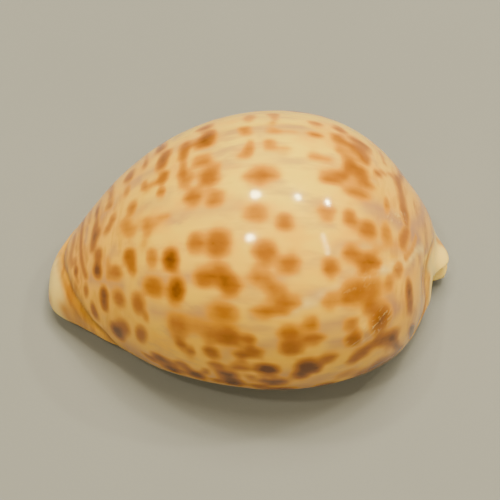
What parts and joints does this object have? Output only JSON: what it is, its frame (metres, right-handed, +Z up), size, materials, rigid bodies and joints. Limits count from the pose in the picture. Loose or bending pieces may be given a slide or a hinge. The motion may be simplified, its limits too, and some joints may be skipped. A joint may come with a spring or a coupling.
{
  "type": "cowrie shell",
  "caption": "Glossy spotted cowrie shell, a hollow egg-shaped form with a toothed slit underneath and short beaks at both ends, resting on its flattened base.",
  "frame": {"origin": "centre of the shell's outline seen from above, on the surface that the base lies on", "axes": "+X along the shell from the narrow front beak to the broad rear end, +Y towards the outer lip's side, +Z up through the back, away from the aperture"},
  "size_m": [0.092, 0.0636, 0.0477],
  "materials": {
    "polished_shell": "natural porcelain gloss, cream with soft orange-brown spots over faint mauve bands"
  },
  "bodies": {
    "root": {"shell": "polished_shell"}
  },
  "joints": []
}
